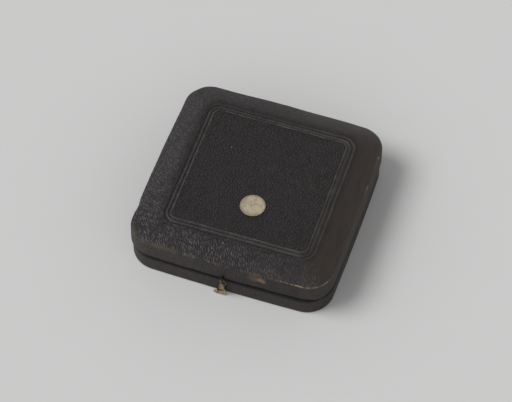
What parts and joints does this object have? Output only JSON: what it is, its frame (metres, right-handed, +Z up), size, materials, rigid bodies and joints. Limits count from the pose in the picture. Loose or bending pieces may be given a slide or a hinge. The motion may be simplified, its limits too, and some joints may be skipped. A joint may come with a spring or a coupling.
{
  "type": "medal presentation case",
  "caption": "Small square presentation case for a medal, covered in black leather over wood, with a bevelled hinged lid, a tooled panel, a bare round label and a brass swing-hook catch.",
  "frame": {"origin": "centre of the underside, on the plane the case stands on", "axes": "+Z up through the lid, -Y out of the front with the catch, +Y towards the hinge, +X to the right seen from the front"},
  "size_m": [0.0814, 0.0835, 0.0203],
  "materials": {
    "black_leather": "worn satin, fine grain",
    "underside_paper": "matte bookcloth paper",
    "bare_wood": "planed, unvarnished",
    "plum_velvet": "short pile",
    "ivory_satin": "soft sheen",
    "grey_card": "matte card",
    "aged_brass": "tarnished",
    "blackened_brass": "blackened",
    "label_paper": "matte aged paper"
  },
  "bodies": {
    "case_base": {"base_bottom_sheet": "underside_paper", "base_board": "bare_wood", "base_frame": "bare_wood", "base_cover": "black_leather", "base_collar": "plum_velvet", "bed_block": "bare_wood", "bed_velvet": "plum_velvet", "well_lining": "plum_velvet", "well_pad": "plum_velvet", "base_hinge_leaf": "aged_brass", "base_hinge_nail_1": "aged_brass", "base_hinge_nail_2": "aged_brass", "base_hinge_nail_3": "aged_brass", "hinge_pin": "aged_brass", "catch_washer": "aged_brass", "catch_rivet": "aged_brass"},
    "lid": {"lid_frame": "bare_wood", "lid_top_board": "bare_wood", "lid_cover": "black_leather", "lid_lining_strip": "ivory_satin", "lid_pad_card": "grey_card", "lid_pad": "ivory_satin", "paper_label": "label_paper", "lid_hinge_leaf": "aged_brass", "lid_hinge_nail_1": "aged_brass", "lid_hinge_nail_2": "aged_brass", "lid_hinge_nail_3": "aged_brass", "catch_stud": "blackened_brass"},
    "catch": {"catch_hook": "aged_brass"}
  },
  "joints": [
    {"name": "lid_hinge", "type": "hinge", "parent": "case_base", "child": "lid", "pos_m": [0, 0.04042, 0.00815], "axis": [-1, 0, 0], "range_deg": [0, 105]},
    {"name": "catch_swing", "type": "hinge", "parent": "case_base", "child": "catch", "pos_m": [-0.0003, -0.04067, 0.0063], "axis": [0, 1, 0], "range_deg": [-140, 180]}
  ]
}
